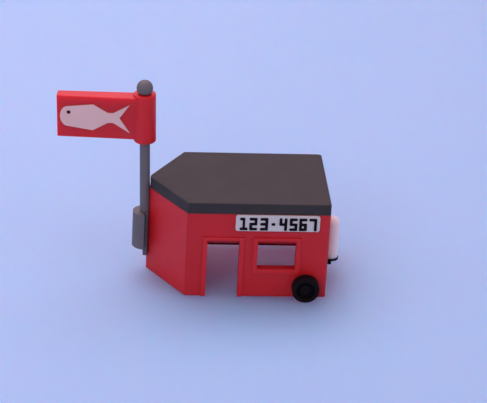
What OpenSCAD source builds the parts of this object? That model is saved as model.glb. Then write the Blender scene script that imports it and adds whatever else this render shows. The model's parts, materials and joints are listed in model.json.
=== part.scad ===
// Toy ice fishing hut with a pointed nose, in printed plastic: walls, roof,
// doorway, windows, number plate, wheels, gas tank and a flag that turns on its mast.
// Millimetres, +Z up, nose towards -X, doorway side towards -Y.
// The origin is at ground level, in the middle of the rear wall's foot.

/* [Walls] */
// Length of the side walls, from the shoulder of the nose to the rear
body_l = 60; // [52:1:80]
// Width across the side walls
body_w = 48.8; // [36:0.2:60]
// Length of the pointed nose in front of the side walls
nose_l = 15.9; // [12:0.1:22]
// Height of the walls up to the underside of the roof
wall_h = 39; // [38:0.5:50]
// Thickness of the walls
wall_t = 3.2; // [2.4:0.1:3.6]
// Radius of the upright corners, other than the nose's tip
corner_r = 1.2; // [0.6:0.1:2]
// Radius of the nose's tip
tip_r = 0.6; // [0.2:0.1:1.4]

/* [Roof] */
// Thickness of the roof slab
roof_t = 4.9; // [3:0.1:8]
// Rounding of the roof's upper edge
roof_r = 0.6; // [0.2:0.1:1.2]
// Radius of the roof's blunt tip, which leaves room for the mast
roof_tip_r = 4.4; // [2.8:0.1:6]

/* [Doorway and windows] */
// Width of the doorway
door_w = 13.6; // [10:0.2:16]
// Height of the heads of the doorway and of the windows
head_z = 24.7; // [20:0.1:26]
// Distance from the shoulder of the nose to the doorway
door_in = 8.7; // [5:0.1:11]
// Bevel under the head of an opening
head_bevel = 2; // [0.4:0.1:2.4]
// Width of a window
window_w = 16.2; // [12:0.2:17]
// Height of a window
window_h = 11.4; // [8:0.2:15]
// Width of wall between two openings
pier_w = 7.7; // [5:0.1:9]
// Width of the raised casing beside an opening
casing_side = 2; // [1:0.1:2.4]
// Width of the raised casing over an opening
casing_head = 3.4; // [2.8:0.1:4.4]
// Width of the raised casing under a window
casing_sill = 2.4; // [1:0.1:3]
// How far a casing stands out of the wall
casing_t = 0.6; // [0.4:0.1:1.2]

/* [Number plate] */
// Length of the number plate
plate_l = 35.3; // [24:0.1:42]
// Height of the number plate
plate_h = 7.3; // [5:0.1:9]
// Thickness of the number plate
plate_t = 0.8; // [0.4:0.1:1.2]
// Radius of the number plate's corners
plate_r = 1; // [0.4:0.1:2]
// Gap between the number plate and the roof
plate_drop = 0.1; // [0.1:0.1:1.4]
// Distance from the rear to the number plate
plate_in = 4.6; // [2:0.1:8]

/* [Wheels] */
// Diameter of a wheel
wheel_d = 11.6; // [9:0.2:14]
// Width of a wheel
wheel_w = 4.8; // [3.4:0.1:6]
// Distance from the rear to the wheels' axle
wheel_in = 9.1; // [8:0.1:12]
// Diameter of the hollow in a wheel's outer face
hollow_d = 8; // [5.6:0.2:8.4]
// Depth of the hollow in a wheel's outer face
hollow_t = 2; // [1.2:0.1:2.6]
// Rounding of a wheel's edges
wheel_r = 0.6; // [0.2:0.1:1]
// Diameter of an axle pin
pin_d = 3; // [2:0.1:4]
// Diameter of an axle pin's head
pin_head_d = 4.6; // [4.2:0.1:5.2]
// Thickness of an axle pin's head
pin_head_t = 0.7; // [0.4:0.1:0.9]
// Diameter of the collar between the wall and a wheel
collar_d = 6; // [4:0.2:8]

/* [Mast and flag] */
// Diameter of the mast
mast_d = 4.3; // [3:0.1:4.6]
// Length of the mast from the socket to the underside of the ball
mast_l = 55.4; // [48:0.1:70]
// Lean of the mast and its socket away from the hut, in degrees
mast_lean = 1.8; // [0:0.1:4]
// Distance from the nose's tip to the mast's axis, at the socket's top
mast_out = 1.2; // [1.2:0.1:2.4]
// Diameter of the peg at the mast's foot
peg_d = 2.2; // [1.6:0.1:2.4]
// Length of the peg at the mast's foot
peg_l = 9; // [6:0.5:11]
// Diameter of the ball on the mast
ball_d = 6.9; // [6:0.1:8]
// Diameter of the flat under the ball
ball_foot_d = 5.6; // [4.8:0.1:5.8]
// Diameter of the socket
socket_d = 10.3; // [8:0.1:11]
// Length of the socket
socket_l = 16.2; // [13:0.2:20]
// Height of the socket's top above the ground
socket_top = 27.4; // [24:0.2:32]
// Thickness of the plate behind the socket
bracket_t = 1.8; // [1.4:0.1:2.4]
// Length of the plate behind the socket
bracket_l = 20.6; // [17:0.2:24]
// Width of the plate behind the socket
bracket_w = 4; // [3.2:0.1:6]
// Reach of the flag from the mast's axis
flag_reach = 36.6; // [26:0.2:44]
// Height of the flag
flag_h = 18.7; // [17:0.1:24]
// Thickness of the flag at its free end
flag_t = 4.9; // [2:0.1:5.4]
// Thickness of the flag at the mast's axis
flag_root_t = 6.4; // [5:0.1:6.8]
// Turn of the flag away from the hut's long axis, in degrees
flag_turn = 6.4; // [0:0.1:20]
// Diameter of the sleeve that holds the flag on the mast
sleeve_d = 9.4; // [7:0.1:11]
// How far the sleeve reaches below the flag
sleeve_drop = 1.7; // [0.2:0.1:2]
// How far the sleeve reaches above the flag
sleeve_rise = 1.3; // [0.2:0.1:2]
// Bevel on the sleeve's lower and upper edge
sleeve_r = 0.3; // [0.1:0.1:0.8]
// Bare stretch of the mast between the sleeve and the ball
ball_gap = 0.4; // [0.2:0.1:2]
// Length of the fish on the flag
fish_l = 29.2; // [20:0.2:30]
// Height of the fish on the flag
fish_h = 12.6; // [8:0.2:16]
// How far the fish stands out of the flag
fish_t = 0.5; // [0.3:0.1:1]
// Gap between the fish's nose and the end of the flag
fish_in = 1.3; // [0.8:0.1:2]
// Diameter of the fish's eye
eye_d = 1.7; // [0.8:0.1:2]

/* [Gas tank] */
// Diameter of the tank
tank_d = 6.4; // [5:0.1:8]
// Height of the tank
tank_h = 19.2; // [16:0.2:28]
// Gap between the tank and the rear wall
tank_gap = 0.8; // [0.4:0.1:2]
// Height of the shelf's underside above the ground
shelf_z = 5.9; // [5:0.1:8]
// Thickness of the shelf
shelf_t = 0.9; // [0.6:0.1:2]
// How far the shelf stands out around the tank
shelf_lip = 0.3; // [0.1:0.1:1]
// Width of the strut under the shelf
strut_w = 2; // [1:0.1:4]
// Length of the strut under the shelf
strut_l = 2.8; // [2:0.1:4.2]
// Reach of the strut's toe from the rear wall
toe_l = 4.5; // [4.4:0.1:6]
// Thickness of the strut's toe
toe_t = 1; // [0.6:0.1:1.6]
// Height of the strut's toe above the ground
toe_z = 3.1; // [1:0.1:3.2]

/* [Hidden] */
$fn = 64;

// Clearances
turn_fit = 0.05;    // between a pin or peg and the hole that it turns in
wheel_gap = 0.3;    // between a wheel and the pin's collar, the pin's head and the casings
foot_gap = 0.3;     // over the socket and under the peg, as the leaning mast needs it
mast_gap = 0.2;     // around the mast where it turns in the groove of the nose's tip
seat_depth = 0.2;   // how far the bracket's plate is let into the nose's tip
glue_fit = 0.02;    // between the mast and the flag's sleeve, which is glued on it
past = 1;           // how far a cutting tool runs past the face that it cuts

// Outline of the walls, counter-clockwise from the near shoulder
rear_x = wall_t / 2;
shoulder_x = rear_x - body_l;
tip_x = shoulder_x - nose_l;
side_y = body_w / 2;
corners = [[shoulder_x, -side_y], [rear_x, -side_y], [rear_x, side_y], [shoulder_x, side_y], [tip_x, 0]];
radii = [corner_r, corner_r, corner_r, corner_r, tip_r];
roof_radii = [corner_r, corner_r, corner_r, corner_r, roof_tip_r];
arc_steps = 7;      // flats on each upright corner: an odd number, so a mitre crosses the middle of one

// Places along the walls
door_x = shoulder_x + door_in;
window_x = door_x + door_w + pier_w;
front_window_x = window_x - pier_w - window_w;
window_z = head_z - window_h;
plate_x = rear_x - plate_in - plate_l;
plate_z = wall_h - plate_drop - plate_h;
wheel_x = rear_x - wheel_in;
wheel_z = wheel_d / 2;
wheel_y = side_y + casing_t + wheel_gap;
web_t = wheel_w - hollow_t;
nose_front_x = tip_x + tip_r / sin(half_angle(corners, 4)) - tip_r;
mast_x = nose_front_x - mast_out;
seat_x = nose_front_x + seat_depth;
ball_seat = sqrt(pow(ball_d, 2) - pow(ball_foot_d, 2)) / 2;    // from the ball's centre to the flat under it
flag_z = mast_l - ball_gap - sleeve_rise - flag_h;
flag_taper = atan((flag_root_t - flag_t) / 2 / flag_reach);   // turn of each face from the flag's middle
tank_x = rear_x + tank_gap + tank_d / 2;
shelf_d = tank_d + 2 * shelf_lip;

function unit(v) = v / norm(v);
function arm(p, i, step) = unit(p[(i + step + len(p)) % len(p)] - p[i]);
function half_angle(p, i) = acos(arm(p, i, -1) * arm(p, i, 1)) / 2;
// The point that lies d inside both sides of corner i
function inset(p, i, d) = p[i] + unit(arm(p, i, -1) + arm(p, i, 1)) * d / sin(half_angle(p, i));
// The points of corner i rounded to radius r
function rounded(p, i, r) =
    let (c = inset(p, i, r), foot = p[i] + arm(p, i, -1) * r / tan(half_angle(p, i)) - c,
        start = atan2(foot[1], foot[0]), sweep = 180 - 2 * half_angle(p, i))
    [for (k = [0:arc_steps]) c + r * [cos(start + sweep * k / arc_steps), sin(start + sweep * k / arc_steps)]];
function rounded_outline(p, r) = [for (i = [0:len(p) - 1]) each rounded(p, i, r[i])];

// Plan of the wall that runs from corner i to the next, mitred at both ends
module wall_plan(i) {
    j = (i + 1) % len(corners);
    intersection() {
        polygon([corners[i], corners[j], inset(corners, j, wall_t), inset(corners, i, wall_t)]);
        polygon(rounded_outline(corners, radii));
    }
}

// A hole through a side wall and its casing, from x and z, w wide and h high, with a bevel under its head
module side_hole(x, z, w, h) {
    back = wall_t + casing_t + past;
    translate([x, -side_y - casing_t, z]) rotate([90, 0, 90]) linear_extrude(w)
        polygon([[-past, 0], [back, 0], [back, h], [head_bevel, h], [-past, h + head_bevel + past]]);
}

// Turns what was made for the near side to the far side
module far_side() {
    mirror([0, 1, 0]) children();
}

module doorway_hole() {
    side_hole(door_x, -past, door_w, head_z + past);
}

module window_hole(x) {
    side_hole(x, window_z, window_w, window_h);
}

module pin_hole() {
    translate([wheel_x, -side_y - past, wheel_z]) rotate([-90, 0, 0])
        cylinder(d = pin_d, h = wall_t + 2 * past);
}

module near_side_wall() {
    color("firebrick") difference() {
        linear_extrude(wall_h) wall_plan(0);
        doorway_hole();
        window_hole(window_x);
        pin_hole();
    }
}

module far_side_wall() {
    color("firebrick") difference() {
        linear_extrude(wall_h) wall_plan(2);
        far_side() {
            window_hole(window_x);
            window_hole(front_window_x);
            pin_hole();
        }
    }
}

module rear_wall() {
    color("firebrick") linear_extrude(wall_h) wall_plan(1);
}

// A flat on the nose's tip where the bracket's plate sits, and a groove above it where the mast turns
module bracket_seat() {
    translate([seat_x - bracket_t, -side_y, socket_top - bracket_l]) cube([bracket_t, body_w, bracket_l]);
    on_mast() cylinder(r = mast_d / 2 + mast_gap, h = wall_h);
}

module near_nose_wall() {
    color("firebrick") difference() {
        linear_extrude(wall_h) wall_plan(4);
        bracket_seat();
    }
}

module far_nose_wall() {
    color("firebrick") difference() {
        linear_extrude(wall_h) wall_plan(3);
        bracket_seat();
    }
}

// A slab whose upper edge is rounded in steps
module roof() {
    color("dimgray") hull() for (a = [0:30:90]) {
        shrink = roof_r * (1 - cos(a));
        outline = [for (i = [0:len(corners) - 1]) inset(corners, i, shrink)];
        translate([0, 0, wall_h]) linear_extrude(roof_t - roof_r * (1 - sin(a)))
            polygon(rounded_outline(outline, roof_radii));
    }
}

module door_casing() {
    color("firebrick") difference() {
        translate([door_x - casing_side, -side_y - casing_t, 0])
            cube([door_w + 2 * casing_side, casing_t, head_z + casing_head]);
        doorway_hole();
    }
}

module window_casing(x) {
    color("firebrick") difference() {
        translate([x - casing_side, -side_y - casing_t, window_z - casing_sill])
            cube([window_w + 2 * casing_side, casing_t, window_h + casing_sill + casing_head]);
        window_hole(x);
    }
}

module near_window_casing() {
    window_casing(window_x);
}

module far_front_window_casing() {
    far_side() window_casing(front_window_x);
}

module far_rear_window_casing() {
    far_side() window_casing(window_x);
}

module number_plate() {
    outline = [[0, 0], [plate_l, 0], [plate_l, plate_h], [0, plate_h]];
    color("white") translate([plate_x, -side_y, plate_z]) rotate([90, 0, 0])
        linear_extrude(plate_t) polygon(rounded_outline(outline, [plate_r, plate_r, plate_r, plate_r]));
}

// The pin is fixed in the wall. Its collar holds the wheel off the casings, and its head keeps it on
module near_axle_pin() {
    stem_l = wall_t + casing_t + wheel_gap + web_t + wheel_gap;
    color("black") translate([wheel_x, -side_y + wall_t, wheel_z]) rotate([90, 0, 0]) {
        cylinder(d = pin_d, h = stem_l);
        translate([0, 0, wall_t]) cylinder(d = collar_d, h = casing_t);
        translate([0, 0, stem_l]) cylinder(d = pin_head_d, h = pin_head_t);
    }
}

module far_axle_pin() {
    far_side() near_axle_pin();
}

module near_wheel() {
    r = wheel_d / 2;
    bore_r = pin_d / 2 + turn_fit;
    color("black") translate([wheel_x, -wheel_y, wheel_z]) rotate([90, 0, 0]) rotate_extrude()
        polygon([[bore_r, 0], [r - wheel_r, 0], [r, wheel_r], [r, wheel_w - wheel_r], [r - wheel_r, wheel_w],
            [hollow_d / 2, wheel_w], [hollow_d / 2, web_t], [bore_r, web_t]]);
}

module far_wheel() {
    far_side() near_wheel();
}

// Places what stands on the mast: its axis leans away from the hut at the socket's top
module on_mast() {
    translate([mast_x, 0, socket_top]) rotate([0, -mast_lean, 0]) children();
}

// A plate on the nose's tip with a half-round socket in front of it
module mast_bracket() {
    color("gray") difference() {
        union() {
            translate([seat_x - bracket_t, -bracket_w / 2, socket_top - bracket_l])
                cube([bracket_t, bracket_w, bracket_l]);
            intersection() {
                translate([mast_x, 0, socket_top - socket_l]) cylinder(d = socket_d, h = socket_l);
                translate([seat_x - bracket_t + seat_depth - 2 * socket_d, -socket_d, 0])
                    cube([2 * socket_d, 2 * socket_d, socket_top]);
            }
        }
        on_mast() translate([0, 0, -peg_l - foot_gap])
            cylinder(d = peg_d + 2 * turn_fit, h = peg_l + foot_gap + past);
    }
}

module mast() {
    color("dimgray") on_mast() {
        translate([0, 0, -peg_l]) cylinder(d = peg_d, h = peg_l + past);
        translate([0, 0, foot_gap]) cylinder(d = mast_d, h = mast_l - foot_gap);
    }
}

module mast_ball() {
    color("dimgray") on_mast() translate([0, 0, mast_l + ball_seat]) difference() {
        sphere(d = ball_d);
        translate([0, 0, -ball_d - ball_seat]) cylinder(d = ball_d, h = ball_d);
    }
}

// Places what lies in the flag: x from the mast outwards, y to the far side, z from the flag's foot
module on_flag() {
    on_mast() rotate([0, 0, 180 - flag_turn]) mirror([0, 1, 0]) translate([0, 0, flag_z]) children();
}

// A round bar of height h with bevelled ends
module sleeve(h) {
    r = sleeve_d / 2;
    rotate_extrude()
        polygon([[0, 0], [r - sleeve_r, 0], [r, sleeve_r], [r, h - sleeve_r], [r - sleeve_r, h], [0, h]]);
}

// A flag that thins towards its free end
module flag() {
    sleeve_l = sleeve_drop + flag_h + sleeve_rise;
    color("red") on_flag() difference() {
        union() {
            linear_extrude(flag_h) polygon([[0, -flag_root_t / 2], [flag_reach, -flag_t / 2],
                [flag_reach, flag_t / 2], [0, flag_root_t / 2]]);
            translate([0, 0, -sleeve_drop]) sleeve(sleeve_l);
        }
        translate([0, 0, -sleeve_drop - past]) cylinder(r = mast_d / 2 + glue_fit, h = sleeve_l + 2 * past);
    }
}

// Points of a quarter bow from a to b that leaves a upright
function bow(a, b) =
    [for (t = [0:15:90]) [a[0] + (b[0] - a[0]) * (1 - cos(t)), a[1] + (b[1] - a[1]) * sin(t)]];
function reversed(v) = [for (k = [len(v) - 1:-1:0]) v[k]];

// The fish swims away from the mast. Its outline is in shares of its length and height, nose first
module fish() {
    tip = [0, 0.52];
    back = [[0.48, 0.975], [0.69, 0.69], [0.765, 0.69], [1, 1]];
    notch = [0.855, 0.52];
    belly = [[1, 0], [0.765, 0.34], [0.69, 0.34], [0.47, 0.04]];
    shape = concat(bow(tip, [0.11, 0.87]), back, [notch], belly, reversed(bow(tip, [0.11, 0.16])));
    fish_z = (flag_h - fish_h) / 2;
    nose_x = flag_reach - fish_in;
    difference() {
        polygon([for (p = shape) [nose_x - p[0] * fish_l, fish_z + p[1] * fish_h]]);
        translate([nose_x - 0.125 * fish_l, fish_z + 0.66 * fish_h]) circle(d = eye_d, $fn = 24);
    }
}

// The fish as it stands on the flag's near face
module raised_fish() {
    translate([0, -flag_root_t / 2, 0]) rotate([0, 0, flag_taper])
        rotate([90, 0, 0]) linear_extrude(fish_t) fish();
}

module near_fish() {
    color("white") on_flag() raised_fish();
}

module far_fish() {
    color("white") on_flag() far_side() raised_fish();
}

module gas_tank() {
    r = tank_d / 2;
    color("white") translate([tank_x, 0, shelf_z + shelf_t]) {
        cylinder(r = r, h = tank_h - r);
        translate([0, 0, tank_h - r]) sphere(r = r);
    }
}

// A round shelf that the tank stands on, with a straight part to the rear wall
module tank_shelf() {
    color("black") translate([0, 0, shelf_z]) {
        translate([tank_x, 0, 0]) cylinder(d = shelf_d, h = shelf_t);
        translate([rear_x, -shelf_d / 2, 0]) cube([tank_x - rear_x, shelf_d, shelf_t]);
    }
}

// The strut stands on a toe that reaches past it
module tank_strut() {
    toe_top = toe_z + toe_t;
    color("black") translate([rear_x, strut_w / 2, 0]) rotate([90, 0, 0]) linear_extrude(strut_w)
        polygon([[0, toe_z], [toe_l, toe_z], [toe_l, toe_top], [strut_l, toe_top],
            [strut_l, shelf_z], [0, shelf_z]]);
}

near_side_wall();
far_side_wall();
rear_wall();
near_nose_wall();
far_nose_wall();
roof();
door_casing();
near_window_casing();
far_front_window_casing();
far_rear_window_casing();
number_plate();
near_axle_pin();
far_axle_pin();
near_wheel();
far_wheel();
mast_bracket();
mast();
mast_ball();
flag();
near_fish();
far_fish();
gas_tank();
tank_shelf();
tank_strut();
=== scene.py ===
"""Dresses the printed toy ice fishing hut: its plastics, its plate's digits and its studio."""

import json
import logging
import math
from dataclasses import dataclass
from enum import Enum

import bmesh
import bpy
from mathutils import Matrix, Vector


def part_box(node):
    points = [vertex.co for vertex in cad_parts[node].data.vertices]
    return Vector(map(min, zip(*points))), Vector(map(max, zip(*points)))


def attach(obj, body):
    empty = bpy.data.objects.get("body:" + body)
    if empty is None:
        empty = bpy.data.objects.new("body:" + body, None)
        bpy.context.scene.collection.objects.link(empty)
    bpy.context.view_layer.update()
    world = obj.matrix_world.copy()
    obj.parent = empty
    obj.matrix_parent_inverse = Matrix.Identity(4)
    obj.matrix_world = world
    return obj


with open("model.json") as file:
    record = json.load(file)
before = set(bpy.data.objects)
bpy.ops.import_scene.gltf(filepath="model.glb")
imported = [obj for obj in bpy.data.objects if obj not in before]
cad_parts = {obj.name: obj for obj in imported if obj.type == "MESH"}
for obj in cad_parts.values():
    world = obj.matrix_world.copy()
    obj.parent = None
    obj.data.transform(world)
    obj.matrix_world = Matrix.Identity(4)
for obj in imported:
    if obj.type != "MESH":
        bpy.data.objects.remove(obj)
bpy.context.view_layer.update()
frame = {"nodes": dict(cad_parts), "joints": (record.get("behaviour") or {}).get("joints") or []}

log = logging.getLogger("ice_fishing_hut")

MM = 0.001                # one millimetre in the frame's metres
WAVE_TURN = math.pi / 10  # a wave texture's scale for one band per unit of its vector
MIX_A, MIX_B, MIX_OUT = 6, 7, 2    # the colour sockets of a mix node
LOW_MIX, HIGH_MIX = 2, 3           # the number sockets of a mix node

Rgb = tuple[float, float, float]


def linear_rgba(srgb_hex: str) -> tuple[float, float, float, float]:
    """Turns an sRGB colour into linear light.

    Args:
        srgb_hex: The colour as "#rrggbb".

    Returns:
        Red, green, blue and an alpha of 1.
    """
    shares = [int(srgb_hex[i : i + 2], 16) / 255 for i in (1, 3, 5)]
    linear = [c / 12.92 if c <= 0.04045 else ((c + 0.055) / 1.055) ** 2.4 for c in shares]
    return linear[0], linear[1], linear[2], 1.0


def add_node(
    tree: bpy.types.NodeTree,
    kind: str,
    inputs: dict[str | int, object] | None = None,
    **settings: object,
) -> bpy.types.Node:
    """Adds a node with its settings and links.

    Args:
        tree: The node tree to add it to.
        kind: The node's type, without "ShaderNode" in front.
        inputs: For each socket, a value or the output that feeds it.
        **settings: The node's own properties.

    Returns:
        The new node.
    """
    node = tree.nodes.new("ShaderNode" + kind)
    for name, value in settings.items():
        setattr(node, name, value)
    for socket, value in (inputs or {}).items():
        if isinstance(value, bpy.types.NodeSocket):
            tree.links.new(value, node.inputs[socket])
        else:
            node.inputs[socket].default_value = value
    return node


class Lay(Enum):
    """How a piece lay on the printer's bed: which of its axes pointed up."""

    UPRIGHT = Matrix.Identity(3)
    ON_ITS_FACE = Matrix.Rotation(math.radians(90), 3, "X")


@dataclass(frozen=True)
class PrintedPla:
    """PLA as printed: coloured right through, half matt, with ribs from its layers.

    The layers give fine level lines on upright faces. The last layer gives slanting
    tracks on level faces.
    """

    name: str
    colour: str
    worn_colour: str
    roughness: float
    ior: float = 1.46
    gloss: float = 0.5        # less than 0.5 where the ribs of a rough print scatter the shine
    layer_mm: float = 0.7     # real layers are 0.2 mm: drawn coarser, or the render shows none
    layer_wobble: float = 0.35
    layer_wobble_size: float = 0.6
    track_mm: float = 0.9     # real tracks are 0.42 mm: drawn coarser, as the layers are
    track_turn_deg: float = 45.0
    track_wobble: float = 0.5
    track_wobble_size: float = 0.4
    track_rise: float = 0.8   # how far up or down a face has to look to show tracks
    rib_mm: float = 0.02      # how deep the lines between the layers are
    # Painted shade in the lines between layers, and painted light on the ribs
    rib_shade: tuple[float, float] = (0.9, 1.03)    # how light the lines are, and the ribs
    edge_mm: float = 0.3      # the soft edge that a 0.4 mm nozzle leaves
    edge_samples: int = 6
    cloud_mm: float = 11.0    # size of the faint clouds in the colour
    cloud_span: tuple[float, float] = (0.35, 0.65)
    speck_mm: float = 2.4     # spacing of the specks
    speck_share: float = 0.0  # how strongly the specks show
    speck_colour: str = "#8c8688"
    speck_span: tuple[float, float] = (0.16, 0.05)  # a speck's rim and its full centre
    glow: float = 0.0         # light that travels inside the plastic
    glow_mm: float = 1.5      # how far it travels
    glow_tint: Rgb = (1.0, 0.7, 0.6)

    def material(self, lay: Lay = Lay.UPRIGHT, tilt: Matrix | None = None) -> bpy.types.Material:
        """Builds the material.

        Args:
            lay: How the piece lay on the bed.
            tilt: The piece's own turn in the frame, as a 3x3 matrix.

        Returns:
            The finished material.
        """
        material = bpy.data.materials.new(f"{self.name}_{lay.name.lower()}")
        material.use_nodes = True
        tree = material.node_tree
        tree.nodes.clear()
        turn = (lay.value @ (tilt or Matrix.Identity(3)).inverted()).to_euler()
        place = add_node(tree, "TexCoord")
        # From metres in the frame to millimetres on the printer's bed
        bed = add_node(tree, "Mapping", {
            "Vector": place.outputs["Object"],
            "Rotation": turn,
            "Scale": (1 / MM, 1 / MM, 1 / MM),
        })
        facing = add_node(tree, "Mapping", {"Vector": place.outputs["Normal"], "Rotation": turn})
        ribs = self._ribs(tree, bed.outputs["Vector"], facing.outputs["Vector"])
        colour = self._colour(tree, bed.outputs["Vector"], ribs)
        edge = add_node(tree, "Bevel", {"Radius": self.edge_mm * MM}, samples=self.edge_samples)
        bump = add_node(tree, "Bump", {
            "Height": ribs,
            "Distance": self.rib_mm * MM,
            "Strength": 1.0,
            "Normal": edge.outputs["Normal"],
        })
        shader = add_node(tree, "BsdfPrincipled", {
            "Base Color": colour,
            "Roughness": self.roughness,
            "IOR": self.ior,
            "Specular IOR Level": self.gloss,
            "Subsurface Weight": self.glow,
            "Subsurface Radius": self.glow_tint,
            "Subsurface Scale": self.glow_mm * MM,
            "Normal": bump.outputs["Normal"],
        })
        add_node(tree, "OutputMaterial", {"Surface": shader.outputs["BSDF"]})
        return material

    def _ribs(
        self, tree: bpy.types.NodeTree, bed: bpy.types.NodeSocket, facing: bpy.types.NodeSocket
    ) -> bpy.types.NodeSocket:
        """Draws layer lines on the sides and slanting tracks on what faced up or down.

        Args:
            tree: The material's node tree.
            bed: Places in millimetres on the bed.
            facing: The surface's direction on the bed.

        Returns:
            The height from 0 to 1.
        """
        layers = add_node(tree, "TexWave", {
            "Vector": bed,
            "Scale": WAVE_TURN / self.layer_mm,
            "Distortion": self.layer_wobble,
            "Detail": 1.0,
            "Detail Scale": self.layer_wobble_size,
        }, wave_type="BANDS", bands_direction="Z")
        slant = add_node(tree, "Mapping", {
            "Vector": bed,
            "Rotation": (0, 0, math.radians(self.track_turn_deg)),
        })
        tracks = add_node(tree, "TexWave", {
            "Vector": slant.outputs["Vector"],
            "Scale": WAVE_TURN / self.track_mm,
            "Distortion": self.track_wobble,
            "Detail": 1.0,
            "Detail Scale": self.track_wobble_size,
        }, wave_type="BANDS", bands_direction="X")
        parts = add_node(tree, "SeparateXYZ", {"Vector": facing})
        upward = add_node(tree, "Math", {0: parts.outputs["Z"]}, operation="ABSOLUTE")
        level = add_node(tree, "Math", {0: upward.outputs[0], 1: self.track_rise},
                         operation="GREATER_THAN")
        height = add_node(tree, "Mix", {
            "Factor": level.outputs[0],
            LOW_MIX: layers.outputs["Fac"],
            HIGH_MIX: tracks.outputs["Fac"],
        }, data_type="FLOAT")
        return height.outputs[0]

    def _colour(
        self, tree: bpy.types.NodeTree, bed: bpy.types.NodeSocket, ribs: bpy.types.NodeSocket
    ) -> bpy.types.NodeSocket:
        """Gives the colour its faint clouds, painted shade in the lines between layers with
        painted light on the ribs, and its pale specks.

        Args:
            tree: The material's node tree.
            bed: Places in millimetres on the bed.
            ribs: The height of the ribs, from 0 to 1.

        Returns:
            The colour's output.
        """
        clouds = add_node(tree, "TexNoise", {
            "Vector": bed,
            "Scale": 1 / self.cloud_mm,
            "Detail": 3.0,
        })
        spread = add_node(tree, "MapRange", {
            "Value": clouds.outputs["Fac"],
            "From Min": self.cloud_span[0],
            "From Max": self.cloud_span[1],
        })
        tint = add_node(tree, "Mix", {
            "Factor": spread.outputs["Result"],
            MIX_A: linear_rgba(self.colour),
            MIX_B: linear_rgba(self.worn_colour),
        }, data_type="RGBA")
        # Painted shade darkens the lines between layers, and painted light brightens the ribs
        painted_rib_shading = add_node(tree, "MapRange", {
            "Value": ribs,
            "To Min": self.rib_shade[0],
            "To Max": self.rib_shade[1],
        })
        lined = add_node(tree, "Mix", {
            "Factor": 1.0,
            MIX_A: tint.outputs[MIX_OUT],
            MIX_B: painted_rib_shading.outputs["Result"],
        }, data_type="RGBA", blend_type="MULTIPLY")
        if not self.speck_share:
            return lined.outputs[MIX_OUT]
        specks = add_node(tree, "TexVoronoi", {"Vector": bed, "Scale": 1 / self.speck_mm})
        dots = add_node(tree, "MapRange", {
            "Value": specks.outputs["Distance"],
            "From Min": self.speck_span[0],
            "From Max": self.speck_span[1],
            "To Max": self.speck_share,
        })
        pale = add_node(tree, "Mix", {
            "Factor": dots.outputs["Result"],
            MIX_A: lined.outputs[MIX_OUT],
            MIX_B: linear_rgba(self.speck_colour),
        }, data_type="RGBA")
        return pale.outputs[MIX_OUT]


@dataclass(frozen=True)
class OpalBoard:
    """A pale board of milky acrylic that light travels through."""

    name: str
    colour: str
    roughness: float
    glow_mm: float
    glow_tint: Rgb

    def material(self) -> bpy.types.Material:
        """Builds the material.

        Returns:
            The finished material.
        """
        material = bpy.data.materials.new(self.name)
        material.use_nodes = True
        tree = material.node_tree
        tree.nodes.clear()
        shader = add_node(tree, "BsdfPrincipled", {
            "Base Color": linear_rgba(self.colour),
            "Roughness": self.roughness,
            "Subsurface Weight": 1.0,
            "Subsurface Radius": self.glow_tint,
            "Subsurface Scale": self.glow_mm * MM,
        })
        add_node(tree, "OutputMaterial", {"Surface": shader.outputs["BSDF"]})
        return material


RED_GLOW: Rgb = (1.0, 0.15, 0.1)    # red plastic lets hardly any green and blue through

# Gives the walls their warm red, a little lighter where light leaks through an edge
RED_PLA = PrintedPla("red_pla_as_printed", "#c4161f", "#c91a23", roughness=0.5,
                     glow=0.5, glow_mm=3.0, glow_tint=RED_GLOW)
# Gives the thick flag a deeper glow, and round corners that catch the light
THICK_RED_PLA = PrintedPla("thick_red_pla_as_printed", "#ca161f", "#cf1a23", roughness=0.42,
                           edge_mm=0.8, glow=1.0, glow_mm=7.0, glow_tint=RED_GLOW)
# Gives the thin casings a red a shade lighter than the walls': painted light that keeps them as
# light as the walls they lie on
THIN_RED_PLA = PrintedPla("thin_red_pla_painted_lighter", "#c81820", "#cd1c24", roughness=0.5,
                          glow=0.3, glow_tint=RED_GLOW)
# Gives the roof a dull, nearly black face with a few pale specks
DARK_GREY_PLA = PrintedPla("dark_grey_pla_as_printed", "#333434", "#373838", roughness=0.62,
                           gloss=0.3, speck_share=0.1)
# Gives the mast and its bracket a plain mid grey that shows how round they are
GREY_PLA = PrintedPla("grey_pla_as_printed", "#646769", "#686b6d", roughness=0.58, gloss=0.4)
# Gives the tank the milky look of white plastic with light inside it
WHITE_PLA = PrintedPla("white_pla_as_printed", "#faf3f0", "#fdf6f3", roughness=0.5,
                       glow=1.0, glow_mm=4.0)
# Gives the plate a cool pale grey that the black digits stand out from
PLATE_PLA = PrintedPla("white_pla_of_the_plate", "#cbd2cc", "#cfd6d0", roughness=0.5, glow=0.3)
# Gives the fish a pale pink: painted light of the red flag shining through the white plastic
THIN_WHITE_PLA = PrintedPla("thin_white_pla_painted_pink", "#e4c5bd", "#e8c9c1", roughness=0.5,
                            glow=0.3)
# Gives the wheels, the digits and the tank's shelf a black with hardly any shine
BLACK_PLA = PrintedPla("black_pla_as_printed", "#0e0c0f", "#121013", roughness=0.7, gloss=0.12)
# Gives the floor a cool pale face, and lets light in under the walls to the room inside
OPAL_BOARD = OpalBoard("opal_board", "#9cc6ea", roughness=0.7, glow_mm=70.0,
                       glow_tint=(4.2, 1.0, 0.7))


def dress(names: tuple[str, ...], material: bpy.types.Material) -> None:
    """Gives nodes of the frame their material.

    Args:
        names: The nodes.
        material: The material to put in each one's slots.
    """
    for name in names:
        piece = frame["nodes"][name]
        piece.data.materials.clear()
        piece.data.materials.append(material)
        log.info("%s: %s", name, material.name)


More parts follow.
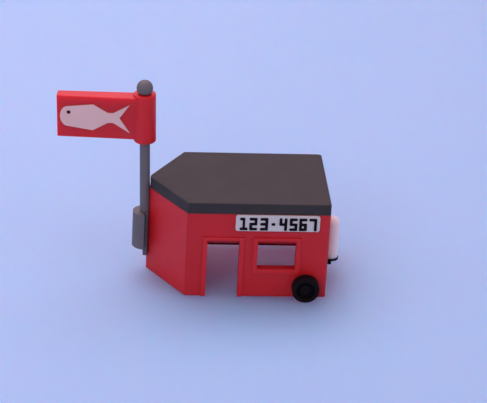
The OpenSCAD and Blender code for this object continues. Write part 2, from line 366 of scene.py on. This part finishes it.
def add_object(
    name: str, mesh: bmesh.types.BMesh, material: bpy.types.Material
) -> bpy.types.Object:
    """Turns a finished mesh into an object of the scene.

    Args:
        name: The object's name.
        mesh: Its mesh, in metres in the frame. It is freed.
        material: Its material.

    Returns:
        The new object.
    """
    data = bpy.data.meshes.new(name)
    mesh.to_mesh(data)
    mesh.free()
    data.materials.append(material)
    thing = bpy.data.objects.new(name, data)
    bpy.context.scene.collection.objects.link(thing)
    return thing


def add_piece(
    name: str, mesh: bmesh.types.BMesh, material: bpy.types.Material, body: str
) -> None:
    """Turns a finished mesh into a piece that rides on a body.

    Args:
        name: The piece's name.
        mesh: Its mesh, in metres in the frame. It is freed.
        material: Its material.
        body: The body it rides on.
    """
    bmesh.ops.recalc_face_normals(mesh, faces=mesh.faces)
    piece = add_object(name, mesh, material)
    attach(piece, body)
    log.info("%s: %d faces, rides on %s", name, len(piece.data.polygons), body)


@dataclass
class Hull:
    """The walls with their casings, and the roof slab."""

    walls: tuple[str, ...] = (
        "near_side_wall", "far_side_wall", "rear_wall", "near_nose_wall", "far_nose_wall")
    casings: tuple[str, ...] = (
        "door_casing", "near_window_casing", "far_front_window_casing", "far_rear_window_casing")
    roof: str = "roof"

    def dress(self) -> None:
        """Dresses the walls and casings in red and the roof in dark grey."""
        dress(self.walls, RED_PLA.material())
        dress(self.casings, THIN_RED_PLA.material())
        dress((self.roof,), DARK_GREY_PLA.material())


@dataclass
class NumberPlate:
    """The white plate under the roof, with square digits in black."""

    node: str = "number_plate"
    number: str = "123-4567"
    # Where each sign starts, from the plate's front end
    lefts_mm: tuple[float, ...] = (1.7, 5.7, 10.25, 14.95, 18.25, 22.55, 26.55, 30.75)
    digit_w_mm: float = 3.25
    dash_w_mm: float = 1.6
    digit_h_mm: float = 5.8
    stroke_mm: float = 1.15
    drop_mm: float = 0.3        # how far the digits sit under the plate's middle
    raised_mm: float = 0.2
    sunk_mm: float = 0.1
    corner_mm: float = 0.32     # the round that the nozzle leaves at each corner
    corner_cuts: int = 3
    corner_turn: float = 1.0    # in radians: what turns more is a corner
    flat_turn: float = 0.01     # in radians: what turns less is flat

    # Which cells of a grid of three columns and five rows each sign fills, from the top
    CELLS = {
        "1": ("##.", ".#.", ".#.", ".#.", "###"),
        "2": ("###", "..#", "###", "#..", "###"),
        "3": ("###", "..#", "###", "..#", "###"),
        "4": ("#.#", "#.#", "###", "..#", "..#"),
        "5": ("###", "#..", "###", "..#", "###"),
        "6": ("###", "#..", "###", "#.#", "###"),
        "7": ("###", "..#", "..#", "..#", "..#"),
        "-": ("...", "...", "###", "...", "..."),
    }

    def dress(self) -> None:
        """Dresses the plate and puts its digits on it."""
        dress((self.node,), PLATE_PLA.material(Lay.ON_ITS_FACE))
        ink = BLACK_PLA.material(Lay.ON_ITS_FACE)
        low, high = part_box(self.node)
        foot = (low.z + high.z) / 2 - (self.digit_h_mm / 2 + self.drop_mm) * MM
        for place, (sign, left) in enumerate(zip(self.number, self.lefts_mm), 1):
            corner = Vector((low.x + left * MM, low.y, foot))
            name = f"plate_sign_{place}"
            add_piece(name, self._sign(sign, corner), ink, "hut")

    def _columns(self, sign: str) -> list[float]:
        """Gives the upright lines of a sign's grid.

        Args:
            sign: The digit or dash.

        Returns:
            Four places in millimetres, from the left.
        """
        if sign == "-":
            return [0, self.dash_w_mm / 3, 2 * self.dash_w_mm / 3, self.dash_w_mm]
        return [0, self.stroke_mm, self.digit_w_mm - self.stroke_mm, self.digit_w_mm]

    def _rows(self) -> list[float]:
        """Gives the level lines of a sign's grid.

        Returns:
            Six heights in millimetres, from the top.
        """
        stroke = self.stroke_mm
        middle = (self.digit_h_mm - 3 * stroke) / 2
        downs = (0, stroke, stroke + middle, 2 * stroke + middle, 2 * stroke + 2 * middle,
                 self.digit_h_mm)
        return [self.digit_h_mm - down for down in downs]

    def _sign(self, sign: str, corner: Vector) -> bmesh.types.BMesh:
        """Builds one sign of the number.

        Args:
            sign: The digit or dash.
            corner: Its lower left corner on the plate's face.

        Returns:
            The sign as a closed mesh.
        """
        xs, zs = self._columns(sign), self._rows()
        mesh = bmesh.new()
        corners: dict[tuple[int, int], bmesh.types.BMVert] = {}

        def vertex(column: int, row: int) -> bmesh.types.BMVert:
            """Gives the grid point, made once."""
            if (column, row) not in corners:
                corners[column, row] = mesh.verts.new(
                    corner + Vector((xs[column], self.sunk_mm, zs[row])) * MM)
            return corners[column, row]

        for row, cells in enumerate(self.CELLS[sign]):
            for column, cell in enumerate(cells):
                if cell == "#":
                    mesh.faces.new([vertex(column, row), vertex(column, row + 1),
                                    vertex(column + 1, row + 1), vertex(column + 1, row)])
        bmesh.ops.dissolve_limit(mesh, angle_limit=self.flat_turn, verts=mesh.verts,
                                 edges=mesh.edges)
        front = bmesh.ops.extrude_face_region(mesh, geom=mesh.faces[:])["geom"]
        moved = [item for item in front if isinstance(item, bmesh.types.BMVert)]
        outwards = Vector((0, -(self.sunk_mm + self.raised_mm) * MM, 0))
        bmesh.ops.translate(mesh, vec=outwards, verts=moved)
        upright = [edge for edge in mesh.edges
                   if abs(edge.verts[0].co.y - edge.verts[1].co.y) > self.sunk_mm * MM
                   and edge.calc_face_angle(0) > self.corner_turn]
        bmesh.ops.bevel(mesh, geom=upright, offset=self.corner_mm * MM,
                        segments=self.corner_cuts, profile=0.5, affect="EDGES")
        return mesh


@dataclass
class RunningGear:
    """The two wheels on their pins."""

    wheels: tuple[str, ...] = ("near_wheel", "far_wheel")
    pins: tuple[str, ...] = ("near_axle_pin", "far_axle_pin")

    def dress(self) -> None:
        """Dresses wheels and pins in black, as printed on their faces."""
        dress(self.wheels + self.pins, BLACK_PLA.material(Lay.ON_ITS_FACE))


class Side(Enum):
    """A face of the flag."""

    NEAR = 1
    FAR = -1


@dataclass
class FlagMast:
    """The mast in its bracket, with the ball, the flag and the fish on it."""

    lean_deg: float = 1.8
    turn_deg: float = 6.4
    grey: tuple[str, ...] = ("mast", "mast_ball")
    bracket: str = "mast_bracket"
    flag: str = "flag"
    fish: tuple[str, ...] = ("near_fish", "far_fish")
    root_mm: float = 6.4        # the flag's thickness at the mast
    end_mm: float = 4.9         # and at its free end
    reach_mm: float = 36.6
    eye_out_mm: float = 31.65   # the eye's place from the mast
    eye_up_mm: float = 46.37    # and above the mast's foot
    eye_d_mm: float = 1.25
    eye_t_mm: float = 0.35
    eye_sunk_mm: float = 0.15
    eye_corners: int = 20
    eye_rings: int = 4

    def dress(self) -> None:
        """Dresses what stands on the mast along its own lean and turn."""
        lean = self._lean()
        hoist = lean @ Matrix.Rotation(-math.radians(self.turn_deg), 3, "Z")
        dress(self.grey, GREY_PLA.material(tilt=lean))
        dress((self.bracket,), GREY_PLA.material())
        dress((self.flag,), THICK_RED_PLA.material(Lay.ON_ITS_FACE, hoist))
        dress(self.fish, THIN_WHITE_PLA.material(Lay.ON_ITS_FACE, hoist))
        dot = BLACK_PLA.material(Lay.ON_ITS_FACE, hoist)
        for fish, side in zip(self.fish, Side):
            add_piece(f"{fish}_eye", self._eye(side), dot, "mast")

    def _lean(self) -> Matrix:
        """Gives the mast's lean towards the front."""
        return Matrix.Rotation(-math.radians(self.lean_deg), 3, "Y")

    def _eye(self, side: Side) -> bmesh.types.BMesh:
        """Builds a small domed dot in the fish's eye.

        Args:
            side: The face of the flag that the fish is on.

        Returns:
            The dot as a closed mesh.
        """
        foot = Vector(next(j for j in frame["joints"] if j["name"] == "mast_turn")["pos_m"])
        lean = self._lean()
        turn = Matrix.Rotation(math.radians(180 - self.turn_deg), 3, "Z")
        thinning = math.atan((self.root_mm - self.end_mm) / 2 / self.reach_mm)
        taper = Matrix.Rotation(side.value * thinning, 3, "Z")
        mesh = bmesh.new()

        def point(radius: float, angle: float, out: float) -> bmesh.types.BMVert:
            """Puts a point of the dot in its place in the frame."""
            on_face = Vector((self.eye_out_mm + radius * math.cos(angle), -side.value * out,
                              self.eye_up_mm + radius * math.sin(angle)))
            at = Vector((0, -side.value * self.root_mm / 2, 0)) + taper @ on_face
            at.y = -at.y
            return mesh.verts.new(foot + lean @ (turn @ at) * MM)

        count = self.eye_corners
        radius = self.eye_d_mm / 2
        rim = self.eye_t_mm / 2     # the dot stands straight this far, and the rest is its dome
        angles = [2 * math.pi * k / count for k in range(count)]
        bands = [[point(radius, a, -self.eye_sunk_mm) for a in angles]]
        for ring in range(self.eye_rings):
            lift = math.pi / 2 * ring / self.eye_rings
            bands.append([point(radius * math.cos(lift), a, rim + rim * math.sin(lift))
                          for a in angles])
        for low, high in zip(bands, bands[1:]):
            for k in range(count):
                after = (k + 1) % count
                mesh.faces.new([low[k], low[after], high[after], high[k]])
        mesh.faces.new(bands[0])
        top = point(0, 0, self.eye_t_mm)
        for k in range(count):
            mesh.faces.new([bands[-1][k], bands[-1][(k + 1) % count], top])
        return mesh


@dataclass
class GasTank:
    """The tank on its shelf behind the hut."""

    tank: str = "gas_tank"
    holder: tuple[str, ...] = ("tank_shelf", "tank_strut")

    def dress(self) -> None:
        """Dresses the tank in white and its holder in black."""
        dress((self.tank,), WHITE_PLA.material())
        dress(self.holder, BLACK_PLA.material())


@dataclass
class SoftLight:
    """One soft box of the studio, a metre from the hut."""

    name: str
    azimuth_deg: float      # 0 is the side with the doorway, 90 the rear wall's side
    height_deg: float
    size: float             # its width in metres
    watts: float
    colour: str = "#ffdef0"

    def way(self) -> Vector:
        """Gives the direction from the hut to the soft box."""
        azimuth, height = math.radians(self.azimuth_deg), math.radians(self.height_deg)
        level = math.cos(height)
        return Vector((math.sin(azimuth) * level, -math.cos(azimuth) * level, math.sin(height)))


@dataclass
class Studio:
    """Plain pale floor, soft light and the camera at the photograph's angle."""

    floor_radius: float = 4.0    # in metres, as all places here are
    floor_corners: int = 96
    sky_colour: str = "#ffdef0"
    sky_strength: float = 0.3
    aim: tuple[float, float, float] = (-0.045, 0.0, 0.03)
    camera_at: tuple[float, float, float] = (-0.11019, -0.8696, 0.47899)
    yaw_deg: float = -5.046
    down_deg: float = 27.087
    roll_deg: float = 3.252
    focal_px: float = 2294.2
    frame_px: int = 487
    sensor_mm: float = 36.0
    nearest_view: float = 0.01
    lights: tuple[SoftLight, ...] = (
        SoftLight("back_softbox", azimuth_deg=180, height_deg=60, size=0.7, watts=4.2),
        SoftLight("back_left_softbox", azimuth_deg=225, height_deg=60, size=0.8, watts=3.6),
        SoftLight("low_back_softbox", azimuth_deg=185, height_deg=28, size=0.6, watts=0.7),
        SoftLight("left_softbox", azimuth_deg=270, height_deg=35, size=0.7, watts=1.3),
        SoftLight("front_left_softbox", azimuth_deg=331, height_deg=32, size=0.5, watts=3.0),
        SoftLight("right_softbox", azimuth_deg=65, height_deg=35, size=0.6, watts=2.1),
    )

    def build(self) -> None:
        """Builds the floor, the light and the camera."""
        self._floor()
        self._sky()
        for light in self.lights:
            self._light(light)
        self._camera()

    def _floor(self) -> None:
        """Lays a round floor at ground level."""
        mesh = bmesh.new()
        bmesh.ops.create_circle(mesh, cap_ends=True, segments=self.floor_corners,
                                radius=self.floor_radius)
        add_object("floor", mesh, OPAL_BOARD.material())
        log.info("floor: %s", OPAL_BOARD.name)

    def _sky(self) -> None:
        """Fills the room with even light, and keeps the view from paling it."""
        scene = bpy.context.scene
        scene.world = bpy.data.worlds.new("studio_room")
        scene.world.use_nodes = True
        backdrop = scene.world.node_tree.nodes["Background"]
        backdrop.inputs["Color"].default_value = linear_rgba(self.sky_colour)
        backdrop.inputs["Strength"].default_value = self.sky_strength
        # The default view turns bright reds pale, and the real plastic stays deep red
        scene.view_settings.view_transform = "Standard"

    def _light(self, light: SoftLight) -> None:
        """Hangs a soft box that faces the hut.

        Args:
            light: The soft box and its place.
        """
        data = bpy.data.lights.new(light.name, "AREA")
        data.shape = "DISK"
        data.size = light.size
        data.energy = light.watts
        data.color = linear_rgba(light.colour)[:3]
        lamp = bpy.data.objects.new(light.name, data)
        lamp.location = Vector(self.aim) + light.way()
        lamp.rotation_euler = light.way().to_track_quat("Z", "Y").to_euler()
        bpy.context.scene.collection.objects.link(lamp)

    def _camera(self) -> None:
        """Sets the camera where the photograph was taken from."""
        yaw, down, roll = (math.radians(d) for d in (self.yaw_deg, self.down_deg, self.roll_deg))
        right = Vector((math.cos(yaw), math.sin(yaw), 0))
        ahead = Vector((-math.sin(yaw) * math.cos(down), math.cos(yaw) * math.cos(down),
                        -math.sin(down)))
        below = ahead.cross(right)
        across = right * math.cos(roll) - below * math.sin(roll)
        under = right * math.sin(roll) + below * math.cos(roll)
        turn = Matrix((across, -under, -ahead)).transposed()
        data = bpy.data.cameras.new("photo_camera")
        data.sensor_width = self.sensor_mm
        data.lens = self.focal_px / self.frame_px * self.sensor_mm
        data.clip_start = self.nearest_view
        camera = bpy.data.objects.new("photo_camera", data)
        camera.matrix_world = Matrix.Translation(self.camera_at) @ turn.to_4x4()
        bpy.context.scene.collection.objects.link(camera)
        bpy.context.scene.camera = camera


def main() -> None:
    """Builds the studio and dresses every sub-assembly."""
    logging.basicConfig(level=logging.INFO, format="%(name)s: %(message)s")
    Studio().build()
    for assembly in (Hull(), NumberPlate(), RunningGear(), FlagMast(), GasTank()):
        assembly.dress()
        log.info("%s is dressed", type(assembly).__name__)


if __name__ == "__main__":
    main()
